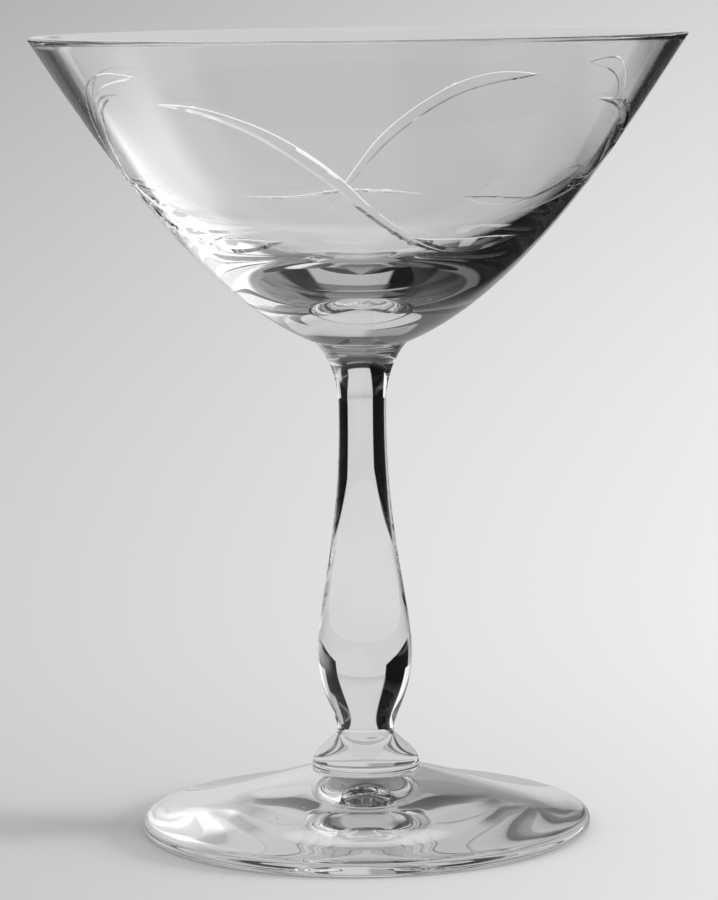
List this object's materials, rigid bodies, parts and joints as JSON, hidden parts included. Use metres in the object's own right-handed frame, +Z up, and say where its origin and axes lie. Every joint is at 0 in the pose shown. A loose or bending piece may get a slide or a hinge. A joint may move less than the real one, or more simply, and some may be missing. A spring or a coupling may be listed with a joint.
{
  "type": "sherbet glass",
  "caption": "Stemmed sherbet glass in clear crystal: a wide flared bowl with a thick floor, fused to a baluster stem, a round knop and a broad disc foot.",
  "frame": {"origin": "centre of the foot's rest ring, on the table", "axes": "+Z up the axis of revolution, from the foot to the rim; X and Y are level and alike"},
  "size_m": [0.1108, 0.1108, 0.136],
  "materials": {
    "bowl_glass": "clear polished crystal with wheel-cut ornament",
    "stem_glass": "clear fire-polished crystal",
    "knop_glass": "clear fire-polished crystal",
    "foot_glass": "clear fire-polished crystal with faint tool marks"
  },
  "bodies": {
    "root": {"bowl": "bowl_glass", "stem": "stem_glass", "knop": "knop_glass", "foot": "foot_glass"}
  },
  "joints": []
}
